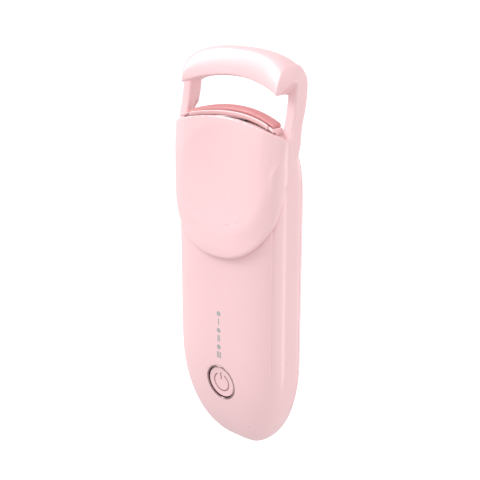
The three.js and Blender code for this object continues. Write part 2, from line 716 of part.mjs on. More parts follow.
function guideRod(x) {
  const low = new THREE.Vector3(x, ROD_Y, SHELF_Z - 1.7);
  return cylinderBetween(low, new THREE.Vector3(x, ROD_Y, CHASSIS_TOP_Z - 0.2), ROD_RADIUS, 16);
}

class Helix extends THREE.Curve {
  constructor(x, y, zLow, zHigh, radius, turns) {
    super();
    Object.assign(this, { x, y, zLow, zHigh, radius, turns });
  }

  getPoint(t) {
    const angle = 2 * Math.PI * this.turns * t;
    const z = this.zLow + (this.zHigh - this.zLow) * t;
    const x = this.x + this.radius * Math.cos(angle);
    return new THREE.Vector3(x, this.y + this.radius * Math.sin(angle), z);
  }
}

function returnSpring(x) {
  const wire = 0.22;
  const turns = 7;
  const helix = new Helix(x, ROD_Y, SHELF_Z + 0.5, YOKE_LOW_Z - 0.5, 1.35, turns);
  return tubeAlong(helix, wire, turns * 9, 3);
}

function mainBoard() {
  const outline = [
    [-7, 7.4], [7, 7.4], [10.5, 14], [10.5, 50], [-10.5, 50], [-10.5, 14],
  ];
  return prismAlongY(outline, BOARD_FRONT_Y, BOARD_BACK_Y);
}

function portShell() {
  const ring = (inset) => {
    const radius = 1.58 - inset;
    const outline = new THREE.Shape();
    outline.absarc(2.9, 0, radius, -Math.PI / 2, Math.PI / 2);
    outline.absarc(-2.9, 0, radius, Math.PI / 2, (3 * Math.PI) / 2);
    return outline;
  };
  const make = (inset, zLow, zHigh) => {
    const geometry = new THREE.ExtrudeGeometry(ring(inset), {
      depth: zHigh - zLow,
      bevelEnabled: false,
      curveSegments: 6,
    });
    geometry.translate(0, PORT_Y, zLow);
    return solidOf(geometry);
  };
  return make(0, 1.5, 9.2).subtract(make(0.3, 0.5, 8.4));
}

function portTongue() {
  return box(-3.3, 3.3, PORT_Y - 0.35, PORT_Y + 0.35, 2.4, 8.1);
}

// A lead in the plane x, along [y, z] points.
function lead(x, points, steps) {
  const route = new THREE.CatmullRomCurve3(points.map(([y, z]) => new THREE.Vector3(x, y, z)));
  return tubeAlong(route, 0.4, steps, 4);
}

// From the cell's tabs over to the top of the board.
const BATTERY_LEAD = [[2.5, 51.4], [2.3, 53], [0.8, 54.2], [-0.7, 53], [-1, 50.4]];

// From the top of the board up the back of the slide to the heater.
const HEATER_LEAD = [
  [-1, 50.4], [-0.6, 53], [0.4, 57], [0.6, 62], [0.6, 78], [0.1, 80.8], [-1.1, 83.4], [-1.4, 86.2],
];

function tactSwitch() {
  const z = BUTTON_Z + 0.6;
  const at = (y) => new THREE.Vector3(0, y, z);
  const top = BOARD_FRONT_Y - GAP - 1.4;
  return joined(
    box(-2.25, 2.25, top, BOARD_FRONT_Y - GAP, z - 2.25, z + 2.25),
    cylinderBetween(at(top - 0.4), at(top + 0.1), 0.9, 12),
  );
}

function buttonRing() {
  return solidOf(buttonPost(RING_OUTER, -0.05, 1.3)).subtract(solidOf(buttonPost(RING_INNER, -1, 2)));
}

// ---- Assembly ----

const shell = housingShell();
addPart('front_housing', geometryOf(frontHousing(shell)), plastic());
addPart('rear_housing', geometryOf(rearHousing(shell)), plastic());
addPart('clamp_frame', geometryOf(clampFrame()), plastic());
addPart('counter_pad', counterPadBar(COUNTER_FRONT, COUNTER_BACK, 1.2, 0, 14.1), finish(0xf4f0ee, 0.6, 0));
addPart('silicone_pad', siliconePad(), finish(ROSE, 0.5, 0));
addPart('lash_guard_strip', guardStrip(), finish(0xf6c8cb, 0.25, 0));
addPart('heat_plate', heatPlate(), finish(0xb8babd, 0.35, 1));
addPart('heater_carrier', geometryOf(heaterCarrier()), finish(PALE_PINK, 0.45, 0));
addPart('heater_element', box(-11, 11, -2.3, -0.5, 86.6, 87.1), finish(0xd8cfa8, 0.5, 0));
addPart('inner_chassis', geometryOf(chassis()), finish(0xe9e6e2, 0.6, 0));
addPart('slider_yoke', geometryOf(sliderYoke()), finish(0xe9e6e2, 0.5, 0));
for (const [side, sign] of [['left', -1], ['right', 1]]) {
  const yokeZ = (YOKE_LOW_Z + YOKE_HIGH_Z) / 2;
  const yokeScrew = smallScrew(sign * BOSS_X, yokeZ, YOKE_FRONT_Y, YOKE_BACK_Y);
  const chassisScrew = smallScrew(sign * CHASSIS_SCREW_X, CHASSIS_SCREW_Z, -5, -0.4);
  addPart(`yoke_screw_${side}`, geometryOf(yokeScrew), finish(0x9a9b9e, 0.3, 1));
  addPart(`chassis_screw_${side}`, geometryOf(chassisScrew), finish(0x9a9b9e, 0.3, 1));
  addPart(`guide_rod_${side}`, guideRod(sign * ROD_X), finish(0xa8aaad, 0.25, 1));
  addPart(`return_spring_${side}`, returnSpring(sign * ROD_X), finish(0x8e9093, 0.3, 1));
  const sleeve = sign < 0 ? 0x222226 : 0xb02a2a;
  addPart(`battery_lead_${side}`, lead(sign * 6, BATTERY_LEAD, 12), finish(sleeve, 0.5, 0));
  addPart(`heater_lead_${side}`, lead(sign * 3, HEATER_LEAD, 26), finish(0xe8e4da, 0.5, 0));
}
addPart('button_cap', buttonPost(BUTTON_RADIUS, BUTTON_RECESS, 1.4), plastic());
addPart('button_ring', geometryOf(buttonRing()), finish(0xc9a7ab, 0.25, 1));
addPart('button_plunger', buttonPost(1.4, 1.7, 3.75 - BUTTON_STROKE, 16), finish(0xf0ece8, 0.7, 0));
addPart('tact_switch', geometryOf(tactSwitch()), finish(0x2a2a2c, 0.4, 0));
const ledBody = box(4, 5.6, BOARD_FRONT_Y - 1.1, BOARD_FRONT_Y - GAP, 25.6, 26.4);
addPart('status_led', ledBody, finish(0xf4f2e6, 0.3, 0));
addPart('thermistor', box(1, 3, -2, -0.8, 87.4, 88.3), finish(0x3a3a3c, 0.4, 0));
addPart('battery_cell', box(-9.3, 9.3, 0.1, 4.9, 17, 51), finish(0xb9c0c8, 0.4, 0.6));
addPart('battery_foam', box(-7, 7, 5.2, 6.1, 24, 44), finish(0x4a4a4c, 0.95, 0));
addPart('main_board', mainBoard(), finish(0x2f6b45, 0.5, 0));
addPart('usb_port', geometryOf(portShell()), finish(0xb9bbbe, 0.3, 1));
addPart('usb_tongue', portTongue(), finish(0x232325, 0.5, 0));

export default group;
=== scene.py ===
"""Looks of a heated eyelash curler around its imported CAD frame: fine shells, pads, marks and light.

Shapes are signed fields in millimetres, measured from the handle's centre plane and negative
inside. dual_mesh() turns a field into a closed mesh in metres in the frame's own place.
"""
import json
import math

import bpy
import numpy as np
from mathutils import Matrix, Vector


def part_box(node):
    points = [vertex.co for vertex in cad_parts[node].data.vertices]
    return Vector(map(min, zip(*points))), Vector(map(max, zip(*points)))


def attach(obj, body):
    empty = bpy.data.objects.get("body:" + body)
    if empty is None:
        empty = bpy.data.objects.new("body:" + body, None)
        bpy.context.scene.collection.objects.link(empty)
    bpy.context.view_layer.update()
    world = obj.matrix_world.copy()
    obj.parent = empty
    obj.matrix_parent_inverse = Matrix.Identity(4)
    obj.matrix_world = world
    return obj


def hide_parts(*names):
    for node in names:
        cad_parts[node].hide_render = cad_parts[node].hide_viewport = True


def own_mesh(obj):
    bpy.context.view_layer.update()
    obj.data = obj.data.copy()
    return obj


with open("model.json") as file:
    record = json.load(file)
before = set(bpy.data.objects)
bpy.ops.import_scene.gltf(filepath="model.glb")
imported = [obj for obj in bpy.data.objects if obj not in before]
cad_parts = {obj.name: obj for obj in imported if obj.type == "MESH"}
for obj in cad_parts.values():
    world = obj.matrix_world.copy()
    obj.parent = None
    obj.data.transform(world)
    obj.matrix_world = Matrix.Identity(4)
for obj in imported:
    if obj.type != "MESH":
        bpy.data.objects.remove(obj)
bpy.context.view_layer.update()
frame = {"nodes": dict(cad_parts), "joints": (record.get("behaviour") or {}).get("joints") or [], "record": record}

MM = 0.001

# ---- Driving dimensions, from the frame and in millimetres ----


def side(node, corner, axis):
    """One side of a CAD node's box in millimetres: corner 0 is the lowest and 1 the highest."""
    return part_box(node)[corner][axis] / MM


BOARD_FRONT = -1.4
CENTRE_Y = side("main_board", 0, 1) - BOARD_FRONT  # the handle's centre plane in the frame
TRAVEL = frame["joints"][0]["range_m"][1] / MM

HALF_WIDTH = side("front_housing", 1, 0)
FRONT = 8.1
BACK = 8.05
HANDLE_TOP = side("rear_housing", 1, 2)
TIP_LENGTH = 28.5
TIP_FRONT_LENGTH = 31.3
TIP_Y = 3.0
END_POWER = 2.2
BACK_ROUND = 20.0
SHOULDER_Z = 84.0
SHOULDER_LENGTH = 10.0
NECK = 15.4
WALL = 1.6
SEAM_Y = 2.6
SEAM_GAP = 0.12
REST_Y = 7.85
DECK_Z = side("front_housing", 1, 2)

FRAME_HALF = side("clamp_frame", 1, 0)
ARM_INNER = 15.8
SPADE_CENTRE = 77.0
SPADE_HEIGHT = 22.5
SPADE_POWER = 2.2
ARCH_CENTRE = 97.5
ARCH_HEIGHT = 8.3
ARCH_POWER = 2.4
LIP_Z = 99.0
LIP_DROP = 3.0
LIP_Y = -2.85
LIP_REACH = 1.95
LIP_HALF = 15.5
VISOR_CREST_Y = 0.6
VISOR_BACK = 3.3
SHIELD_TOP_Z = 89.3
SHIELD_TOP_Y = -5.7
SHIELD_SLOPE = 0.1246
SHIELD_WALL = 1.2
BOWL_DEPTH = 0.7
BOWL_Z = 74
BOWL_HALF_WIDTH = 14.5
BOWL_HALF_HEIGHT = 14
GAP = 0.3

HEAD_HALF = 14.2
PAD_TOP_Z = 91.7
CROWN = 2.3
CHEEK_INNER = 13.3

BUTTON_Z = 19.5
BUTTON_Y = -7.45
BUTTON_TILT = math.radians(6.8)
BUTTON_RADIUS = 4.3
BUTTON_RECESS = 0.25
BUTTON_DISH = 0.12
RING_OUTER = 4.85
RING_INNER = 4.5

YOKE_LOW = side("slider_yoke", 0, 2)
YOKE_HIGH = side("slider_yoke", 1, 2)
YOKE_FRONT = -2.1
BOSS_X = 7.0
ROD_X = 11.3
ROD_Y = 0.7
SHELF_Z = 58.2

# Back edge of the arm in side view, running on as the skirt's rear edge: z, then y.
ARM_BACK_Z = [62, 66.7, 70.7, 75.2, 79.3, 82.3, 84.5, 86.5, 89.9, 92, 94.5, 98.4, 104]
ARM_BACK_Y = [-5.4, -5.2, -4.7, -3.4, -1.2, 0.4, 0.95, 1.25, 1.85, 2.5, 3.0, 3.3, 3.3]
# Front face of the arm in side view.
ARM_FRONT_Z = [68, 72.5, 76.5, 80.3, 83.2, 87, 92.7, 98.4, 104]
ARM_FRONT_Y = [-9.6, -8.4, -7.0, -5.4, -4.0, -2.75, -1.4, -0.6, -0.4]


# ---- Field helpers ----


def smooth_max(a, b, radius):
    """The intersection of two fields with its edge rounded."""
    blend = np.maximum(radius - np.abs(a - b), 0) / radius
    return np.maximum(a, b) + 0.25 * radius * blend * blend


def smooth_min(a, b, radius):
    """The union of two fields with its inner corner filleted."""
    return -smooth_max(-a, -b, radius)


def curve_through(keys, values):
    """A smooth curve through points, as a function: cubic Hermite with finite-difference slopes."""
    keys = np.array(keys, float)
    values = np.array(values, float)
    slopes = np.gradient(values, keys)

    def at(z):
        z = np.clip(z, keys[0], keys[-1])
        i = np.clip(np.searchsorted(keys, z) - 1, 0, len(keys) - 2)
        width = keys[i + 1] - keys[i]
        t = (z - keys[i]) / width
        rise = 3 * t**2 - 2 * t**3
        start = (t**3 - 2 * t**2 + t) * width * slopes[i]
        end = (t**3 - t**2) * width * slopes[i + 1]
        return values[i] * (1 - rise) + values[i + 1] * rise + start + end

    return at


arm_back = curve_through(ARM_BACK_Z, ARM_BACK_Y)
arm_front = curve_through(ARM_FRONT_Z, ARM_FRONT_Y)


def super_field(u, v, half_u, half_v, power):
    """About the distance to a superellipse in a plane: the implicit value over its gradient."""
    a = np.abs(u) / half_u
    b = np.abs(v) / half_v
    total = (a**power + b**power + 1e-9) ** (1 / power)
    down = (total + 1e-9) ** (1 - power)
    slope = np.hypot(down * a ** (power - 1) / half_u, down * b ** (power - 1) / half_v)
    return (total - 1) / np.maximum(slope, 0.5 / np.maximum(half_u, half_v))


def box_field(value, low, high):
    return np.abs(value - (low + high) / 2) - (high - low) / 2


def rounded_end(distance, length):
    inward = 1 - np.clip(distance / length, 0.002, 1)
    return (1 - inward**END_POWER) ** (1 / END_POWER)


# ---- Handle ----


def handle_field(x, y, z, inset=0.0):
    tip = rounded_end(z - inset, TIP_LENGTH)
    front_tip = rounded_end(z - inset, TIP_FRONT_LENGTH)
    back_top = rounded_end(HANDLE_TOP - inset - z, BACK_ROUND)
    shoulder = np.where(z > SHOULDER_Z, 0, rounded_end(SHOULDER_Z - z, SHOULDER_LENGTH))
    full = NECK + (HALF_WIDTH - NECK) * shoulder
    half = np.maximum(full * tip - inset, 0.2)
    front = TIP_Y - (FRONT + TIP_Y) * front_tip + np.minimum(inset, front_tip * 10)
    back = TIP_Y + (BACK - TIP_Y) * tip - BACK * (1 - back_top) - np.minimum(inset, tip * 4)
    half_depth = np.maximum((back - front) / 2, 0.2)
    section = super_field(x, y - (front + back) / 2, half, half_depth, 3)
    return np.maximum(section, box_field(z, inset, HANDLE_TOP - inset))


def spade_field(x, z, half, centre, height):
    below = super_field(x, z - centre, half, height, SPADE_POWER)
    return np.where(z < centre, below, np.abs(x) - half)


def pocket_field(x, y, z, wall=0.0):
    """The spade-shaped pocket in the handle's front that the shield slides in."""
    floor = -3.4 - SHIELD_SLOPE * (82.1 - z) + wall * 0.9
    region = spade_field(x, z, ARM_INNER + GAP + wall, SPADE_CENTRE, SPADE_HEIGHT - 0.9 + wall)
    return np.maximum(y - floor, region)


def notch_field(x, y, z, wall=0.0):
    """The notches beside the neck that the thick upper part of the arms slides in."""
    lift = 1.2 - GAP - wall
    behind = np.minimum(y - arm_back(z - lift), 83 + lift - z)
    return np.maximum(behind, ARM_INNER - GAP - wall - np.abs(x))


def port_field(x, y, z):
    across = np.maximum(np.abs(x) - 3, 0)
    return np.maximum(np.hypot(across, y - 1.15) - 1.72, z - 8)


def button_frame(x, y, z):
    """Distance from the button's axis, and depth along it from the face inwards."""
    along = (y - BUTTON_Y) * math.cos(BUTTON_TILT) + (z - BUTTON_Z) * math.sin(BUTTON_TILT)
    up = (z - BUTTON_Z) * math.cos(BUTTON_TILT) - (y - BUTTON_Y) * math.sin(BUTTON_TILT)
    return np.hypot(x, up), along


def shell_field(x, y, z):
    """The handle as one hollow shell, before it is parted."""
    inside = handle_field(x, y, z, WALL)
    inside = np.maximum(inside, -pocket_field(x, y, z, WALL))
    inside = np.maximum(inside, -notch_field(x, y, z, 1.3))
    solid = np.maximum(handle_field(x, y, z), -inside)
    solid = smooth_max(solid, -pocket_field(x, y, z), 0.3)
    solid = smooth_max(solid, -notch_field(x, y, z), 0.3)
    return smooth_max(solid, -port_field(x, y, z), 0.4)


def front_housing_field(x, y, z):
    solid = smooth_max(shell_field(x, y, z), y - SEAM_Y + SEAM_GAP / 2, 0.2)
    solid = smooth_max(solid, z - DECK_Z, 0.4)
    radius, depth = button_frame(x, y, z)
    hole = np.maximum(radius - RING_OUTER - 0.02, box_field(depth, -4, 5))
    solid = smooth_max(solid, -hole, 0.1)
    slot_x = np.abs(np.abs(x) - BOSS_X) - 1.9
    slot = np.maximum(slot_x, box_field(z, YOKE_LOW - TRAVEL, YOKE_HIGH))
    solid = np.maximum(solid, -np.maximum(slot, box_field(y, -9, 0)))
    boss_radius = np.hypot(np.abs(x) - 11.4, z - 54)
    boss = np.maximum(boss_radius - 1.9, box_field(y, -6.2, -1.9))
    bore = np.maximum(boss_radius - 0.7, -5.4 - y)
    return np.minimum(solid, np.maximum(boss, -bore))


def rear_housing_field(x, y, z):
    solid = smooth_max(shell_field(x, y, z), SEAM_Y + SEAM_GAP / 2 - y, 0.2)
    return smooth_max(solid, y - REST_Y, 0.8)


# ---- Clamp frame ----


def ribbon(x, z):
    depth = np.interp(z, [54, 57, 61.2], [9.42, 9.46, 9.12])
    across = np.minimum(np.abs(x) / (FRAME_HALF + 0.02), 1)
    return -depth * (1 - across**3) ** (1 / 3)


def dish(x, z):
    """The thumb dish: it leans back, is hollow across, and has a shallow bowl in its middle."""
    rise = np.clip((z - 66) / 23, 0, 1)
    hollow = 0.9 * rise * np.minimum((x / 12.9) ** 2, 1)
    sides = (2.3 + 0.8 * rise) * (np.abs(x) / 18.7) ** 5
    bowl = 1 - (x / BOWL_HALF_WIDTH) ** 2 - ((z - BOWL_Z) / BOWL_HALF_HEIGHT) ** 2
    bowl = BOWL_DEPTH * np.maximum(bowl, 0)
    return SHIELD_TOP_Y - SHIELD_SLOPE * (SHIELD_TOP_Z - z) + sides - hollow + bowl


def shield_top(x):
    return SHIELD_TOP_Z - 3.2 * (x / 18.7) ** 2 - 0.6 * (np.abs(x) / FRAME_HALF) ** 12


def arch(x):
    across = np.minimum(np.abs(x) / FRAME_HALF, 1)
    return ARCH_CENTRE + ARCH_HEIGHT * (1 - across**ARCH_POWER) ** (1 / ARCH_POWER)


def outline_field(x, z):
    below = super_field(x, z - SPADE_CENTRE, FRAME_HALF, SPADE_HEIGHT, SPADE_POWER)
    above = super_field(x, z - ARCH_CENTRE, FRAME_HALF, ARCH_HEIGHT, ARCH_POWER)
    straight = np.abs(x) - FRAME_HALF
    return np.where(z < SPADE_CENTRE, below, np.where(z > ARCH_CENTRE, above, straight))


def visor_field(x, y, z):
    """A brow-like bar: its front rises from the lip and rolls over to the top of the arch."""
    beyond = np.maximum(np.abs(x) - LIP_HALF, 0)
    inner = np.minimum(np.abs(x), LIP_HALF) / LIP_HALF
    top = arch(x) + 0.05
    lip = LIP_Z - LIP_DROP * inner**2 + 1.2 * beyond
    lip_front = LIP_Y - LIP_REACH * inner**3 + 1.25 * beyond
    height = np.maximum(top - lip, 0.6)
    reach = np.maximum(VISOR_CREST_Y - lip_front, 0.6)
    up = np.maximum(z - lip, 0) / height
    out = np.maximum(VISOR_CREST_Y - y, 0) / reach
    slope = np.hypot(2 * out / reach, 1.3 * up**0.3 / height)
    brow = (out**2 + up**1.3 - 1) / np.maximum(slope, 0.3 / height)
    field = smooth_max(brow, y - VISOR_BACK, 1.6)
    return smooth_max(field, lip - z, 0.5)


def counter_groove_field(x, y, z):
    shift = -0.9 * (x / LIP_HALF) ** 2
    lip = LIP_Z - LIP_DROP * (x / LIP_HALF) ** 2
    across = np.maximum(box_field(y - shift, -2.1, 0.9), np.abs(x) - 14.4)
    return np.maximum(across, z - lip - 1.5)


def clamp_frame_field(x, y, z):
    outline = outline_field(x, z)
    front = smooth_max(ribbon(x, z), dish(x, z), 0.4)
    clear = super_field(x, y, HALF_WIDTH + GAP, FRONT + GAP, 3)
    swept = np.minimum(handle_field(x, y, z), handle_field(x, y, z - TRAVEL)) - GAP
    pane = spade_field(x, z, ARM_INNER, SPADE_CENTRE + TRAVEL + 0.4, SPADE_HEIGHT - 1.2)
    thick = np.minimum(y - arm_back(z - TRAVEL - 1.2), 91 - z)
    over_arm = np.maximum(thick, ARM_INNER - 0.2 - np.abs(x))
    panel = np.maximum(y - front - SHIELD_WALL, np.minimum(pane, over_arm))
    wall = np.minimum(panel, -clear)
    shield = np.maximum(wall, y - np.where(np.abs(x) < LIP_HALF, 1.0, arm_back(z)))
    shield = smooth_max(shield, z - shield_top(x), 0.5)
    shield = smooth_max(shield, front - y, 0.3)
    arm = np.maximum(np.minimum(thick, -swept), y - arm_back(z))
    face = np.maximum(ribbon(x, z) + 0.15, arm_front(z))
    face = np.where(z < shield_top(x) - 0.3, np.minimum(face, front + SHIELD_WALL - 0.2), face)
    arm = smooth_max(arm, ARM_INNER - np.abs(x), 0.7)
    arm = smooth_max(arm, face - y, 0.7)
    solid = smooth_min(shield, arm, 0.5)
    visor = smooth_max(visor_field(x, y, z), -counter_groove_field(x, y, z), 0.2)
    solid = smooth_max(smooth_min(solid, visor, 0.9), outline, 0.9)
    boss = np.hypot(np.abs(x) - BOSS_X, z - (YOKE_LOW + YOKE_HIGH) / 2) - 1.4
    boss = np.maximum(boss, np.maximum(front + 0.6 - y, y - YOKE_FRONT + GAP))
    return np.minimum(solid, boss)


# ---- Head ----


def crown(x):
    return (x / HEAD_HALF) ** 2


def head_front(x):
    return -2.8 - 1.85 * (x / 12.5) ** 2


def pad_back(x):
    return 0.1 - 1.4 * crown(x)


def silicone_field(x, y, z):
    front = head_front(x) + 0.95
    field = np.abs(x) - 14.6
    field = smooth_max(field, 89.95 - 1.8 * crown(x) - z, 0.3)
    field = smooth_max(field, y - pad_back(x), 0.6)
    top_back = PAD_TOP_Z - CROWN * crown(x)
    front_top = 90.75 - 2.0 * crown(x)
    rise = (top_back - front_top) / (pad_back(x) - 0.5 - front)
    slope = (z - front_top - rise * (y - front)) / np.sqrt(1 + rise**2)
    field = smooth_max(field, slope, 0.7)
    field = smooth_max(field, z - top_back, 0.6)
    return smooth_max(field, front - y, 0.5)


def strip_field(x, y, z):
    front = head_front(x)
    low = 89 - 1.6 * crown(x)
    high = 90.3 - 1.7 * crown(x)
    field = smooth_max(box_field(y, front, front + 0.65), box_field(z, low, high), 0.4)
    return smooth_max(field, np.abs(x) - 13.1, 0.3)


def carrier_field(x, y, z):
    """The head's plastic: a block over the whole neck, with a cheek at each end of the pad."""
    front = np.maximum(-3.1 - 1.2 * (x / 12.5) ** 2, -4.3)
    field = smooth_max(np.abs(x) - NECK, box_field(y, front, 2.45), 0.8)
    top_front = 88.55 - 1.8 * crown(x)
    top_back = 88 - 1.6 * crown(x)
    fall = (top_front - top_back) / (2.45 - front)
    field = smooth_max(field, z - top_front + fall * (y - front), 0.6)
    cheek_low = shield_top(x) + GAP
    cheek_high = 90.25 - 1.7 * crown(x)
    cheek = smooth_max(box_field(np.abs(x), CHEEK_INNER, NECK), box_field(z, cheek_low, cheek_high), 0.4)
    wall_back = np.where(np.abs(x) < HEAD_HALF + 0.7, head_front(x) + 0.65, pad_back(x) - 0.4)
    cheek = smooth_max(cheek, box_field(y, head_front(x), wall_back), 0.35)
    post = np.maximum(box_field(np.abs(x), HEAD_HALF + 0.7, NECK), box_field(z, DECK_Z + GAP, cheek_high))
    post = smooth_max(post, box_field(y, front, pad_back(x) - 0.4), 0.3)
    field = smooth_min(field, np.minimum(cheek, post), 0.2)
    field = smooth_max(field, DECK_Z + GAP - z, 0.3)
    pocket = np.maximum(np.abs(x) - 11.4, np.maximum(box_field(y, -2.6, -0.2), 86 - z))
    lead_way = np.maximum(np.abs(np.abs(x) - 3) - 0.8, box_field(y, -2.2, -0.6))
    return np.maximum(field, -np.minimum(pocket, lead_way))


def counter_pad_field(x, y, z):
    shift = -0.9 * (x / LIP_HALF) ** 2
    bottom = PAD_TOP_Z + 7 - CROWN * crown(x)
    top = LIP_Z - LIP_DROP * (x / LIP_HALF) ** 2 + 1.2
    field = smooth_max(box_field(y - shift, -1.8, 0.6), box_field(z, bottom, top), 0.5)
    return smooth_max(field, np.abs(x) - 14.1, 0.3)


# ---- Meshes from fields ----

CELL_EDGES = [
    (corner, axis)
    for axis in range(3)
    for corner in np.ndindex(2, 2, 2)
    if corner[axis] == 0
]


def gradient(field, points, reach=0.02):
    """The unit gradient of a field at points, by central differences."""
    result = np.empty_like(points)
    for axis in range(3):
        ahead = points.copy()
        behind = points.copy()
        ahead[:, axis] += reach
        behind[:, axis] -= reach
        result[:, axis] = field(*ahead.T) - field(*behind.T)
    length = np.linalg.norm(result, axis=1, keepdims=True)
    return result / np.maximum(length, 1e-9)


def crossings(values, axis):
    """Grid edges along an axis that cross the surface: their lower corners and the share along."""
    low = [slice(None)] * 3
    high = [slice(None)] * 3
    low[axis] = slice(0, -1)
    high[axis] = slice(1, None)
    start = values[tuple(low)]
    end = values[tuple(high)]
    index = np.argwhere((start < 0) != (end < 0))
    a = start[tuple(index.T)]
    b = end[tuple(index.T)]
    return index, a / (a - b), a < 0


def dual_mesh(name, field, low, high, step):
    """A closed mesh of a field's zero surface by dual contouring, which keeps sharp edges sharp."""
    low = np.array(low, float)
    counts = np.ceil((np.array(high, float) - low) / step).astype(int) + 1
    axes = [low[i] + step * np.arange(counts[i]) for i in range(3)]
    values = field(axes[0][:, None, None], axes[1][None, :, None], axes[2][None, None, :])
    values = np.broadcast_to(values, counts)
    cell_counts = counts - 1
    quads = []
    samples = []
    for axis in range(3):
        index, share, inside_first = crossings(values, axis)
        point = low + step * index
        point[:, axis] += step * share
        normal = gradient(field, point)
        u, v = (axis + 1) % 3, (axis + 2) % 3
        corners = []
        for du, dv in ((0, 0), (1, 0), (1, 1), (0, 1)):
            cell = index.copy()
            cell[:, u] -= du
            cell[:, v] -= dv
            corners.append(np.ravel_multi_index(cell.T, cell_counts, mode="clip"))
            samples.append((corners[-1], point, normal))
        around = np.stack(corners, 1)
        around[inside_first] = around[inside_first][:, ::-1]
        quads.append(around)
    quads = np.concatenate(quads)[:, ::-1]
    cells, owner = np.unique(np.concatenate([s[0] for s in samples]), return_inverse=True)
    points = np.concatenate([s[1] for s in samples])
    normals = np.concatenate([s[2] for s in samples])
    vertices = best_points(points, normals, owner, len(cells))
    centre = low + step * (np.stack(np.unravel_index(cells, cell_counts), 1) + 0.5)
    vertices = np.clip(vertices, centre - 0.5 * step, centre + 0.5 * step)
    faces = np.searchsorted(cells, quads)
    return mesh_object(name, vertices, faces)


def best_points(points, normals, owner, count):
    """For each cell, the point nearest to all its tangent planes, held near its crossings' mean."""
    number = np.bincount(owner, minlength=count)[:, None]
    mean = np.stack([np.bincount(owner, points[:, i], count) for i in range(3)], 1) / number
    offset = points - mean[owner]
    distance = (normals * offset).sum(1)
    matrix = np.empty((count, 3, 3))
    right = np.empty((count, 3))
    for i in range(3):
        right[:, i] = np.bincount(owner, normals[:, i] * distance, count)
        for j in range(3):
            matrix[:, i, j] = np.bincount(owner, normals[:, i] * normals[:, j], count)
    matrix += 0.03 * np.eye(3)
    return mean + np.linalg.solve(matrix, right[:, :, None])[:, :, 0]


def mesh_object(name, vertices, faces, smooth_angle=38):
    """A Blender object from points in millimetres, measured from the handle's centre plane."""
    mesh = bpy.data.meshes.new(name)
    placed = (np.asarray(vertices, float) + (0, CENTRE_Y, 0)) * MM
    mesh.from_pydata(placed.tolist(), [], [list(map(int, f)) for f in faces])
    mesh.validate()
    mesh.update()
    mesh.shade_smooth()
    mesh.set_sharp_from_angle(angle=math.radians(smooth_angle))
    obj = bpy.data.objects.new(name, mesh)
    bpy.context.scene.collection.objects.link(obj)
    return obj


# ---- Materials ----


class Maker:
    """Short names for building one material's nodes."""

    def __init__(self, name):
        self.material = bpy.data.materials.new(name)
        self.material.use_nodes = True
        self.tree = self.material.node_tree
        self.shader = self.tree.nodes["Principled BSDF"]
        self.place = self.tree.nodes.new("ShaderNodeTexCoord").outputs["Object"]

    def link(self, source, target):
        self.tree.links.new(source, target)

    def noise(self, scale, detail=3.0, stretch=None):
        node = self.tree.nodes.new("ShaderNodeTexNoise")
        node.inputs["Scale"].default_value = scale
        node.inputs["Detail"].default_value = detail
        place = self.place
        if stretch:
            mapping = self.tree.nodes.new("ShaderNodeMapping")
            mapping.inputs["Scale"].default_value = stretch
            self.link(self.place, mapping.inputs["Vector"])
            place = mapping.outputs["Vector"]
        self.link(place, node.inputs["Vector"])
        return node.outputs["Fac"]

    def ramp(self, source, low, high, start=0.3, end=0.7):
        node = self.tree.nodes.new("ShaderNodeMapRange")
        node.inputs["From Min"].default_value = start
        node.inputs["From Max"].default_value = end
        node.inputs["To Min"].default_value = low
        node.inputs["To Max"].default_value = high
        self.link(source, node.inputs["Value"])
        return node.outputs["Result"]

    def colours(self, source, low, high, start=0.3, end=0.7):
        node = self.tree.nodes.new("ShaderNodeValToRGB")
        node.color_ramp.elements[0].position = start
        node.color_ramp.elements[0].color = (*low, 1)
        node.color_ramp.elements[1].position = end
        node.color_ramp.elements[1].color = (*high, 1)
        self.link(source, node.inputs["Fac"])
        return node.outputs["Color"]

    def bump(self, source, depth_mm, strength=1.0):
        node = self.tree.nodes.new("ShaderNodeBump")
        node.inputs["Distance"].default_value = depth_mm * MM
        node.inputs["Strength"].default_value = strength
        self.link(source, node.inputs["Height"])
        self.link(node.outputs["Normal"], self.shader.inputs["Normal"])

    def set(self, **values):
        for key, value in values.items():
            self.shader.inputs[key.replace("_", " ")].default_value = value


def shade(colour, factor):
    return tuple(min(c * factor, 1.0) for c in colour)


def satin_plastic(name, colour, roughness=0.4, grain_mm=0.12, depth_mm=0.004, spread=0.012):
    """Moulded satin plastic: fine spark-eroded grain, faint flow clouds and uneven polish."""
    make = Maker(name)
    clouds = make.noise(55, 2)
    colour_out = make.colours(clouds, shade(colour, 1 - spread), shade(colour, 1 + spread))
    make.link(colour_out, make.shader.inputs["Base Color"])
    grain = make.noise(1 / (grain_mm * MM), 2)
    make.link(make.ramp(make.noise(160, 3), roughness - 0.03, roughness + 0.03),
              make.shader.inputs["Roughness"])
    make.bump(grain, depth_mm)
    return make


def soft_rubber(name, colour, roughness=0.5, grain_mm=0.2, depth_mm=0.008):
    """Moulded rubber or silicone: soft matte grain, light scattered a little below the surface."""
    make = satin_plastic(name, colour, roughness, grain_mm, depth_mm, 0.03)
    make.set(Subsurface_Weight=0.25, Subsurface_Scale=0.6 * MM)
    make.shader.inputs["Subsurface Radius"].default_value = (1.0, 0.45, 0.4)
    return make


def worked_metal(name, colour, roughness, stretch=(1, 1, 1), depth_mm=0.002):
    """Drawn or pressed metal: fine marks along its working direction."""
    make = Maker(name)
    marks = make.noise(5000, 4, stretch)
    make.link(make.colours(marks, shade(colour, 0.9), shade(colour, 1.06)),
              make.shader.inputs["Base Color"])
    make.link(make.ramp(marks, roughness - 0.05, roughness + 0.07), make.shader.inputs["Roughness"])
    make.bump(marks, depth_mm)
    make.set(Metallic=1.0)
    return make


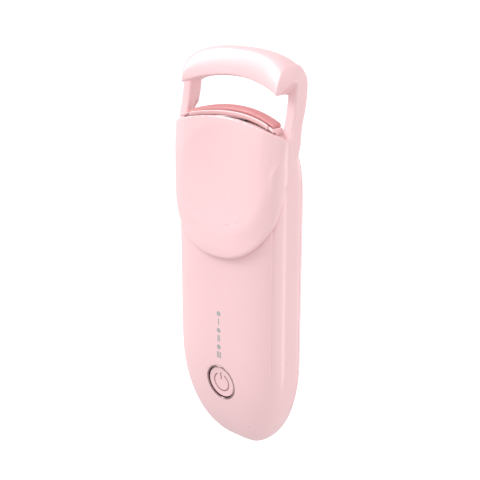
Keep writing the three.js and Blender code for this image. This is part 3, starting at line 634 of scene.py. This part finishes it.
def circuit_green():
    """Solder mask over copper tracks, which show as paler lines."""
    make = Maker("circuit_green")
    node = make.tree.nodes.new("ShaderNodeTexBrick")
    node.inputs["Scale"].default_value = 260
    node.inputs["Mortar Size"].default_value = 0.012
    node.inputs["Color1"].default_value = (0.02, 0.12, 0.05, 1)
    node.inputs["Color2"].default_value = (0.025, 0.14, 0.06, 1)
    node.inputs["Mortar"].default_value = (0.07, 0.3, 0.13, 1)
    turned = make.tree.nodes.new("ShaderNodeMapping")
    turned.inputs["Rotation"].default_value = (math.pi / 2, 0, 0)
    make.link(make.place, turned.inputs["Vector"])
    make.link(turned.outputs["Vector"], node.inputs["Vector"])
    make.link(node.outputs["Color"], make.shader.inputs["Base Color"])
    make.link(make.ramp(make.noise(900), 0.22, 0.34), make.shader.inputs["Roughness"])
    make.bump(node.outputs["Fac"], 0.02)
    make.set(Coat_Weight=0.5)
    return make


PINK = (0.935, 0.622, 0.645)
FINISHES = {
    "shell": satin_plastic("satin_pink", PINK, 0.3),
    "head_plastic": satin_plastic("satin_pink_head", (0.94, 0.63, 0.64), 0.42),
    "guard_strip": satin_plastic("glossy_pink_strip", (0.93, 0.60, 0.61), 0.22, 0.3, 0.002),
    "silicone": soft_rubber("rose_silicone", (0.70, 0.30, 0.305), 0.5),
    "counter_pad": soft_rubber("pale_silicone", (0.90, 0.62, 0.64), 0.5),
    "ring": worked_metal("rose_chrome", (0.42, 0.30, 0.31), 0.16, (1, 1, 1), 0.0005),
    "plunger": soft_rubber("clear_silicone", (0.88, 0.85, 0.82), 0.45),
    "aluminium": worked_metal("pressed_aluminium", (0.60, 0.61, 0.62), 0.34, (0.05, 1, 1)),
    "steel": worked_metal("drawn_steel", (0.55, 0.56, 0.57), 0.26, (1, 1, 0.04)),
    "heater": satin_plastic("fired_ceramic", (0.80, 0.74, 0.55), 0.62, 0.06, 0.01, 0.05),
    "inner_plastic": satin_plastic("natural_nylon", (0.86, 0.84, 0.81), 0.5, 0.1, 0.01, 0.03),
    "black_plastic": satin_plastic("black_plastic", (0.03, 0.03, 0.034), 0.4, 0.1, 0.006, 0.08),
    "led": satin_plastic("clear_epoxy", (0.92, 0.91, 0.82), 0.12, 0.3, 0.001, 0.01),
    "battery_foil": worked_metal("pouch_foil", (0.62, 0.65, 0.68), 0.36, (0.3, 1, 1), 0.01),
    "foam": satin_plastic("cell_foam", (0.08, 0.08, 0.09), 0.85, 0.25, 0.12, 0.25),
    "circuit_board": circuit_green(),
    "lead_black": satin_plastic("black_sleeve", (0.02, 0.02, 0.022), 0.45, 0.2, 0.01, 0.1),
    "lead_red": satin_plastic("red_sleeve", (0.45, 0.03, 0.03), 0.45, 0.2, 0.01, 0.1),
    "lead_white": satin_plastic("white_sleeve", (0.80, 0.78, 0.73), 0.6, 0.12, 0.03, 0.06),
}


def dress(obj, slot):
    obj.data.materials.clear()
    obj.data.materials.append(FINISHES[slot].material)


for subpart in frame["record"]["subparts"]:
    dress(frame["nodes"][subpart["node"]], subpart["material_slot"])


# ---- Pieces ----


def finished(obj, body, slot, *nodes):
    dress(obj, slot)
    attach(obj, body)
    if nodes:
        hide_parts(*nodes)
    return obj


def room(node, margin=1.0):
    """A CAD node's box in millimetres from the handle's centre plane, with a margin."""
    low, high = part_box(node)
    low = [low.x / MM - margin, low.y / MM - CENTRE_Y - margin, low.z / MM - margin]
    high = [high.x / MM + margin, high.y / MM - CENTRE_Y + margin, high.z / MM + margin]
    return low, high


FIELD_PIECES = [
    ("front_shell", front_housing_field, "front_housing", "handle", "shell", 0.4),
    ("rear_shell", rear_housing_field, "rear_housing", "handle", "shell", 0.4),
    ("clamp_shell", clamp_frame_field, "clamp_frame", "clamp", "shell", 0.3),
    ("heater_head", carrier_field, "heater_carrier", "handle", "head_plastic", 0.3),
    ("curling_pad", silicone_field, "silicone_pad", "handle", "silicone", 0.17),
    ("front_strip", strip_field, "lash_guard_strip", "handle", "guard_strip", 0.12),
    ("counter_cushion", counter_pad_field, "counter_pad", "clamp", "counter_pad", 0.2),
]
for piece_name, piece_field, node, body, slot, step in FIELD_PIECES:
    made = dual_mesh(piece_name, piece_field, *room(node), step)
    finished(made, body, slot, node)


def button_point(x, up, depth):
    """A point on the button's own axes in the handle's millimetres."""
    y = BUTTON_Y + depth * math.cos(BUTTON_TILT) - up * math.sin(BUTTON_TILT)
    z = BUTTON_Z + depth * math.sin(BUTTON_TILT) + up * math.cos(BUTTON_TILT)
    return (x, y, z)


def turned_on_button_axis(name, profile, closed, sides=96):
    """A lathe piece on the button's axis: the profile is (radius, depth) points."""
    vertices = []
    faces = []
    rings = len(profile)
    for k in range(sides):
        angle = 2 * math.pi * k / sides
        for radius, depth in profile:
            vertices.append(button_point(radius * math.sin(angle), radius * math.cos(angle), depth))
    for k in range(sides):
        following = (k + 1) % sides
        for i in range(rings if closed else rings - 1):
            j = (i + 1) % rings
            faces.append((k * rings + i, k * rings + j, following * rings + j, following * rings + i))
    if not closed:
        faces.append([k * rings for k in range(sides)][::-1])
        faces.append([k * rings + rings - 1 for k in range(sides)])
    obj = mesh_object(name, vertices, faces)
    return facing_out(obj)


def facing_out(obj):
    """Turns a closed mesh's faces outwards."""
    import bmesh

    work = bmesh.new()
    work.from_mesh(obj.data)
    bmesh.ops.recalc_face_normals(work, faces=work.faces)
    work.to_mesh(obj.data)
    work.free()
    return obj


def arc(centre_radius, centre_depth, radius, start, end, steps=8):
    """Profile points on an arc, with angles in degrees from outwards towards the front."""
    points = []
    for i in range(steps + 1):
        angle = math.radians(start + (end - start) * i / steps)
        points.append((centre_radius + radius * math.cos(angle), centre_depth - radius * math.sin(angle)))
    return points


def cap_profile():
    """A shallow dished face, a rounded rim and a straight skirt."""
    edge = 0.35
    face = []
    for i in range(13):
        radius = 0.05 + (BUTTON_RADIUS - edge - 0.05) * i / 12
        face.append((radius, BUTTON_RECESS + BUTTON_DISH * (1 - (radius / BUTTON_RADIUS) ** 2)))
    rim = arc(BUTTON_RADIUS - edge, BUTTON_RECESS + edge, edge, 80, 0)
    return face + rim + [(BUTTON_RADIUS, 1.4)]


finished(turned_on_button_axis("power_cap", cap_profile(), False), "button", "shell", "button_cap")

ring_middle = (RING_OUTER + RING_INNER) / 2
ring_half = (RING_OUTER - RING_INNER) / 2
ring_profile = arc(ring_middle, ring_half - 0.05, ring_half, 0, 180, 12)
ring_profile += [(RING_INNER, 1.3), (RING_OUTER, 1.3)]
finished(turned_on_button_axis("trim_ring", ring_profile, True), "handle", "ring", "button_ring")


def stroke(name, line, width, surface, thickness=0.03):
    """A flat printed or filled line with round ends, laid on a surface: line is (u, v) points."""
    line = np.array(line, float)
    vertices = []
    faces = []
    directions = np.gradient(line, axis=0)
    directions /= np.linalg.norm(directions, axis=1, keepdims=True)
    sections = []
    for i in range(7):
        along = -math.cos(math.pi / 2 * i / 6)
        half = 0.5 * width * math.sqrt(max(1 - along**2, 0.01))
        sections.append((line[0] + directions[0] * along * width / 2, directions[0], half))
    sections += [(line[i], directions[i], width / 2) for i in range(1, len(line) - 1)]
    for i in range(7):
        along = math.sin(math.pi / 2 * i / 6)
        half = 0.5 * width * math.sqrt(max(1 - along**2, 0.01))
        sections.append((line[-1] + directions[-1] * along * width / 2, directions[-1], half))
    for centre, direction, half in sections:
        across = np.array((-direction[1], direction[0]))
        for share in (-1, -0.4, 0.4, 1):
            u, v = centre + across * half * share
            raised = thickness * (1 - 0.5 * share**2)
            vertices.append(surface(u, v, -raised))
        for share in (1, -1):
            u, v = centre + across * half * share
            vertices.append(surface(u, v, thickness))
    ring = 6
    count = len(sections)
    for k in range(count - 1):
        for i in range(ring):
            j = (i + 1) % ring
            faces.append((k * ring + i, k * ring + j, (k + 1) * ring + j, (k + 1) * ring + i))
    faces.append(list(range(ring))[::-1])
    faces.append([(count - 1) * ring + i for i in range(ring)])
    return facing_out(mesh_object(name, vertices, faces))


def on_cap(u, v, depth):
    dished = BUTTON_DISH * (1 - (math.hypot(u, v) / BUTTON_RADIUS) ** 2)
    return button_point(u, v, BUTTON_RECESS + dished + depth)


def on_front(u, v, depth):
    """A point near the handle's front surface, at a small depth into it."""
    tip = float(rounded_end(v, TIP_FRONT_LENGTH))
    whole = float(rounded_end(v, TIP_LENGTH))
    front = TIP_Y - (FRONT + TIP_Y) * tip
    back = TIP_Y + (BACK - TIP_Y) * whole
    middle = (front + back) / 2
    half = (back - front) / 2
    y = middle - half * (1 - (abs(u) / (HALF_WIDTH * whole)) ** 3) ** (1 / 3)
    return (u, y + depth, v)


ICON = satin_plastic("icon_fill", (0.36, 0.17, 0.18), 0.35, 0.08, 0.004, 0.05).material
PRINT = satin_plastic("grey_print", (0.42, 0.43, 0.42), 0.5, 0.05, 0.003, 0.06).material


def printed(obj, body, material):
    obj.data.materials.clear()
    obj.data.materials.append(material)
    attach(obj, body)


ICON_RADIUS = 0.58 * BUTTON_RADIUS
ICON_WIDTH = 0.36
arc_line = []
for i in range(49):
    angle = math.radians(32 + 296 * i / 48)
    arc_line.append((ICON_RADIUS * math.sin(angle), ICON_RADIUS * math.cos(angle)))
printed(stroke("power_icon_arc", arc_line, ICON_WIDTH, on_cap), "button", ICON)
bar_line = [(0, 0.95 + 0.25 * i) for i in range(8)]
printed(stroke("power_icon_bar", bar_line, ICON_WIDTH, on_cap), "button", ICON)

DOT_SIZE = 1.3
BAR_WIDTH = 0.34
LEVEL_PITCH = 4.6
LEVEL_TOP_Z = 39.0
for level in range(3):
    dot_z = LEVEL_TOP_Z - LEVEL_PITCH * level
    dot_line = [(0, dot_z + 0.02), (0, dot_z), (0, dot_z - 0.02)]
    dot = stroke(f"level_dot_{level + 1}", dot_line, DOT_SIZE, on_front)
    printed(dot, "handle", PRINT)
    for bar in range(level + 1):
        bar_x = (bar - level / 2) * 0.52
        line = [(bar_x, dot_z - 1.45 - 0.25 * i) for i in range(7)]
        piece = stroke(f"level_bar_{level + 1}_{bar + 1}", line, BAR_WIDTH, on_front)
        printed(piece, "handle", PRINT)


def coil(name, x):
    """A return spring with closed ends, at its rest length between the shelf and the yoke."""
    wire = 0.22
    radius = 1.35
    turns = 7
    low = SHELF_Z + 0.5
    high = YOKE_LOW - 0.5
    steps = turns * 24
    sides = 10
    vertices = []
    faces = []
    for k in range(steps + 1):
        t = k / steps
        angle = 2 * math.pi * turns * t
        outward = np.array((math.cos(angle), math.sin(angle), 0))
        centre = np.array((x, ROD_Y, low + (high - low) * t)) + radius * outward
        for i in range(sides):
            turn = 2 * math.pi * i / sides
            around = math.cos(turn) * outward + math.sin(turn) * np.array((0, 0, 1))
            vertices.append(centre + wire * around)
    for k in range(steps):
        for i in range(sides):
            j = (i + 1) % sides
            faces.append((k * sides + i, k * sides + j, (k + 1) * sides + j, (k + 1) * sides + i))
    faces.append(list(range(sides))[::-1])
    faces.append([steps * sides + i for i in range(sides)])
    return facing_out(mesh_object(name, vertices, faces))


for side_name, sign in (("left", -1), ("right", 1)):
    spring = coil(f"lift_spring_{side_name}", sign * ROD_X)
    finished(spring, "handle", "steel", f"return_spring_{side_name}")
    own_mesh(spring)


# ---- Floor, light and camera ----

FLOOR_Z = -0.16
FILL_BELOW = 0.72
FILL_ABOVE = 0.92
# Name, azimuth, elevation, distance, size and power of each softbox, and whether it is only a gleam.
SOFTBOXES = [
    ("key_softbox", -58, 36, 0.7, (0.35, 0.35), 3.0, False),
    ("right_fill", 80, -14, 0.7, (0.6, 0.5), 0.8, False),
    ("right_strip", 100, -12, 0.6, (0.1, 0.6), 0.9, True),
    ("back_softbox", 172, 0, 0.7, (0.5, 0.8), 1.2, False),
]


def plain_floor():
    """A wide white floor. It is seen, but it throws no light of its own on the object."""
    mesh = bpy.data.meshes.new("floor")
    reach = 40.0
    corners = [(x * reach, y * reach, FLOOR_Z) for x, y in ((-1, -1), (1, -1), (1, 1), (-1, 1))]
    mesh.from_pydata(corners, [], [(0, 1, 2, 3)])
    floor = bpy.data.objects.new("floor", mesh)
    bpy.context.scene.collection.objects.link(floor)
    make = satin_plastic("pale_floor", (0.9, 0.9, 0.9), 0.8, 3.0, 0.01, 0.004)
    make.set(Emission_Color=(1, 1, 1, 1), Emission_Strength=0.5)
    mesh.materials.append(make.material)
    floor.visible_diffuse = False
    floor.visible_glossy = False
    floor.visible_shadow = False


def area_light(name, azimuth, elevation, distance, size, power, gleam_only):
    """A softbox that faces the object's middle, at an azimuth from the front towards +X."""
    target = Vector((0, 0, 0.055))
    a = math.radians(azimuth)
    e = math.radians(elevation)
    away = Vector((math.sin(a) * math.cos(e), -math.cos(a) * math.cos(e), math.sin(e)))
    light = bpy.data.lights.new(name, "AREA")
    light.shape = "RECTANGLE"
    light.size = size[0]
    light.size_y = size[1]
    light.energy = power
    obj = bpy.data.objects.new(name, light)
    obj.location = target + away * distance
    obj.rotation_mode = "QUATERNION"
    obj.rotation_quaternion = (-away).to_track_quat("-Z", "Y")
    obj.visible_diffuse = not gleam_only
    bpy.context.scene.collection.objects.link(obj)


def studio():
    """White surroundings, dimmer below than above as light, and softboxes that shape the object."""
    world = bpy.data.worlds.new("studio")
    bpy.context.scene.world = world
    world.use_nodes = True
    nodes = world.node_tree.nodes
    links = world.node_tree.links
    seen = nodes["Background"]
    seen.inputs["Color"].default_value = (1, 1, 1, 1)
    seen.inputs["Strength"].default_value = 1.0
    place = nodes.new("ShaderNodeTexCoord")
    height = nodes.new("ShaderNodeSeparateXYZ")
    links.new(place.outputs["Generated"], height.inputs["Vector"])
    level = nodes.new("ShaderNodeMapRange")
    level.inputs["From Min"].default_value = -0.4
    level.inputs["From Max"].default_value = 0.9
    level.inputs["To Min"].default_value = FILL_BELOW
    level.inputs["To Max"].default_value = FILL_ABOVE
    links.new(height.outputs["Z"], level.inputs["Value"])
    fill = nodes.new("ShaderNodeBackground")
    fill.inputs["Color"].default_value = (1, 1, 1, 1)
    links.new(level.outputs["Result"], fill.inputs["Strength"])
    ray = nodes.new("ShaderNodeLightPath")
    mix = nodes.new("ShaderNodeMixShader")
    links.new(ray.outputs["Is Camera Ray"], mix.inputs["Fac"])
    links.new(fill.outputs["Background"], mix.inputs[1])
    links.new(seen.outputs["Background"], mix.inputs[2])
    links.new(mix.outputs["Shader"], nodes["World Output"].inputs["Surface"])
    for softbox in SOFTBOXES:
        area_light(*softbox)
    bpy.context.scene.view_settings.view_transform = "Standard"
    bpy.context.scene.view_settings.look = "None"


def camera():
    data = bpy.data.cameras.new("photo_camera")
    data.lens = 75.98
    data.sensor_width = 36
    obj = bpy.data.objects.new("photo_camera", data)
    shift = Vector((0, CENTRE_Y * MM, 0))
    obj.location = Vector((0.1664, -0.1813, 0.1358)) + shift
    target = Vector((0, 0, 0.0568)) + shift
    obj.rotation_mode = "QUATERNION"
    obj.rotation_quaternion = (target - obj.location).to_track_quat("-Z", "Y")
    data.clip_start = 0.01
    data.clip_end = 20
    bpy.context.scene.collection.objects.link(obj)
    bpy.context.scene.camera = obj


plain_floor()
studio()
camera()
